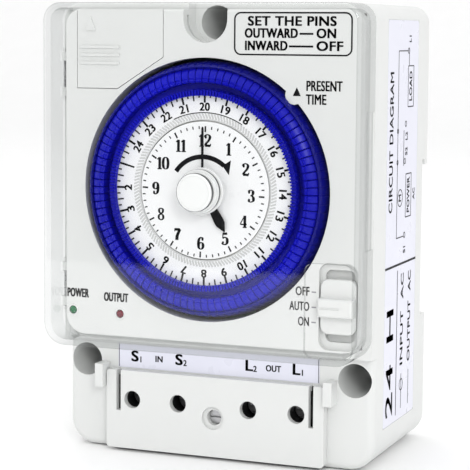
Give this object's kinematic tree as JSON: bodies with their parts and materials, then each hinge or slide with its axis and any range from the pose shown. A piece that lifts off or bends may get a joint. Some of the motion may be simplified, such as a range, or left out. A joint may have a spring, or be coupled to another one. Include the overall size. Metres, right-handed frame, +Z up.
{
  "type": "programmable timer",
  "caption": "Mechanical day time switch with a captive-pin dial, clock hands, clear hinged cover and screw terminals, for a wall or a rail.",
  "frame": {"origin": "middle of the bottom of the bounding box", "axes": "X to the right seen from the front, front faces -Y, Z up"},
  "size_m": [0.074, 0.054, 0.102],
  "materials": {
    "housing": "fine moulded satin",
    "clear": "clear polycarbonate, polished",
    "dial": "satin print ground",
    "pin_blue": "deep blue, moulded",
    "knob": "polished",
    "black": "satin black",
    "nylon": "natural acetal",
    "steel": "zinc plated",
    "brass": "rolled",
    "copper": "enamelled winding",
    "board": "solder mask",
    "film": "dipped",
    "label": "printed film",
    "green_lens": "diffused lens",
    "red_lens": "diffused lens"
  },
  "bodies": {
    "housing": {"base_housing": "housing", "front_panel": "housing", "cover_hinge_pins": "steel", "backup_battery": "steel", "battery_contact_back": "brass", "battery_contact_side": "brass", "clock_face": "dial", "third_wheel": "nylon", "second_wheel": "nylon", "motor_rotor": "black", "motor_stator": "steel", "motor_coil": "copper", "movement_front_plate": "nylon", "movement_back_plate": "brass", "follower_post": "steel", "microswitch": "black", "mode_switch": "black", "power_led": "green_lens", "output_led": "red_lens", "lamp_board": "board", "circuit_board": "board", "film_capacitor": "film", "smoothing_capacitor": "black", "power_relay": "black", "small_components": "film", "quartz_crystal": "steel", "terminal_block": "black", "terminal_cages": "brass", "terminal_screws": "steel", "terminal_tails": "brass", "terminal_label": "label", "side_label": "label", "rail_clip_spring": "steel", "case_screws": "steel", "movement_screws": "steel", "board_screws": "steel"},
    "cover": {"clear_cover": "clear"},
    "door": {"battery_door": "housing"},
    "terminal_cover_body": {"terminal_cover": "housing", "terminal_cover_screw": "steel"},
    "dial": {"dial_disc": "dial", "pin_ring": "pin_blue", "time_pins": "pin_blue"},
    "hours": {"hour_tube": "nylon", "hour_hand": "black"},
    "minutes": {"minute_arbor": "brass", "minute_hand": "black", "setting_knob": "knob", "centre_wheel": "brass", "clutch_spring": "steel"},
    "motion": {"motion_wheel": "nylon"},
    "dial_drive": {"dial_drive_wheel": "nylon"},
    "mode_slider": {"manual_slider": "housing"},
    "follower": {"follower_lever": "nylon"},
    "clip": {"rail_clip": "housing"},
    "pin_1": {"time_pin_1": "pin_blue"},
    "pin_2": {"time_pin_2": "pin_blue"},
    "pin_3": {"time_pin_3": "pin_blue"},
    "pin_4": {"time_pin_4": "pin_blue"}
  },
  "joints": [
    {"name": "cover_hinge", "type": "hinge", "parent": "housing", "child": "cover", "pos_m": [-0.03625, -0.01715, 0.062], "axis": [0, 0, -1], "range_deg": [0, 105]},
    {"name": "dial_turn", "type": "hinge", "parent": "housing", "child": "dial", "pos_m": [-0.0011, -0.015, 0.0609], "axis": [0, 1, 0], "continuous": true},
    {"name": "hour_turn", "type": "hinge", "parent": "housing", "child": "hours", "pos_m": [-0.0011, -0.015, 0.0609], "axis": [0, 1, 0], "continuous": true},
    {"name": "minute_turn", "type": "hinge", "parent": "housing", "child": "minutes", "pos_m": [-0.0011, -0.015, 0.0609], "axis": [0, 1, 0], "continuous": true},
    {"name": "motion_turn", "type": "hinge", "parent": "housing", "child": "motion", "pos_m": [-0.01639, -0.015, 0.04561], "axis": [0, 1, 0], "continuous": true},
    {"name": "dial_drive_turn", "type": "hinge", "parent": "housing", "child": "dial_drive", "pos_m": [-0.01531, -0.015, 0.07511], "axis": [0, 1, 0], "continuous": true},
    {"name": "time_pin_1_slide", "type": "slide", "parent": "dial", "child": "pin_1", "axis": [-0.6836, 0, -0.7299], "range_m": [0, 0.0013]},
    {"name": "time_pin_2_slide", "type": "slide", "parent": "dial", "child": "pin_2", "axis": [-0.6344, 0, -0.773], "range_m": [0, 0.0013]},
    {"name": "time_pin_3_slide", "type": "slide", "parent": "dial", "child": "pin_3", "axis": [-0.5825, 0, -0.8128], "range_m": [0, 0.0013]},
    {"name": "time_pin_4_slide", "type": "slide", "parent": "dial", "child": "pin_4", "axis": [-0.5281, 0, -0.8492], "range_m": [0, 0.0013]},
    {"name": "mode_slide", "type": "slide", "parent": "housing", "child": "mode_slider", "axis": [0, 0, 1], "range_m": [-0.0033, 0.0033]},
    {"name": "battery_door_lift", "type": "slide", "parent": "housing", "child": "door", "axis": [0, -1, 0], "range_m": [0, 0.0035]},
    {"name": "terminal_cover_lift", "type": "slide", "parent": "housing", "child": "terminal_cover_body", "axis": [0, -1, 0], "range_m": [0, 0.025]},
    {"name": "rail_clip_pull", "type": "slide", "parent": "housing", "child": "clip", "axis": [0, 0, -1], "range_m": [0, 0.003], "stiffness_N_per_m": 600, "springref_m": -0.0015, "deforming": ["rail_clip_spring"]},
    {"name": "follower_swing", "type": "hinge", "parent": "housing", "child": "follower", "pos_m": [0.031, -0.013, 0.0485], "axis": [0, 1, 0], "range_deg": [0, 6], "stiffness_Nm_per_rad": 0.02, "springref_deg": -5.73}
  ],
  "couplings": [
    {"joint": "hour_turn", "follows": "dial_turn", "ratio": 2},
    {"joint": "minute_turn", "follows": "dial_turn", "ratio": 24},
    {"joint": "motion_turn", "follows": "dial_turn", "ratio": -8},
    {"joint": "dial_drive_turn", "follows": "dial_turn", "ratio": -12.4}
  ]
}
